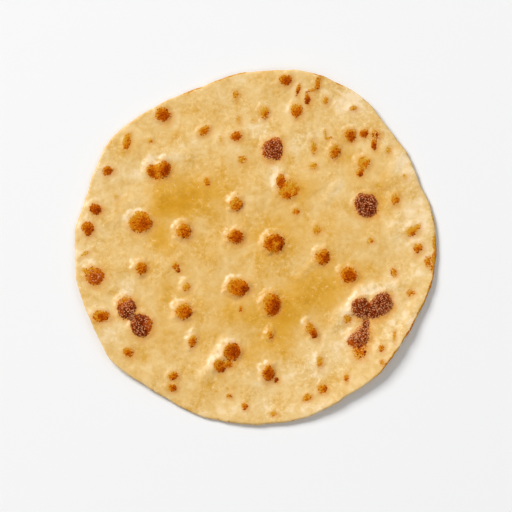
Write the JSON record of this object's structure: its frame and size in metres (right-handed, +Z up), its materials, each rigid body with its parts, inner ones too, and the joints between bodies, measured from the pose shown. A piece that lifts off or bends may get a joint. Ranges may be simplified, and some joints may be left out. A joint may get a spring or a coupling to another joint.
{
  "type": "chapati flatbread",
  "caption": "round soft unleavened flatbread with a blistered, griddle-browned upper face, a thin uneven rim and a flat middle that it rests on",
  "frame": {"origin": "bottom centre of the bread's box, on the surface it lies on", "axes": "+Z up through the thickness, out of the blistered face; +X to the right and +Y away from the viewer"},
  "size_m": [0.1806, 0.18, 0.0054],
  "materials": {
    "crust": "matte"
  },
  "bodies": {
    "root": {"chapati": "crust"}
  },
  "joints": []
}
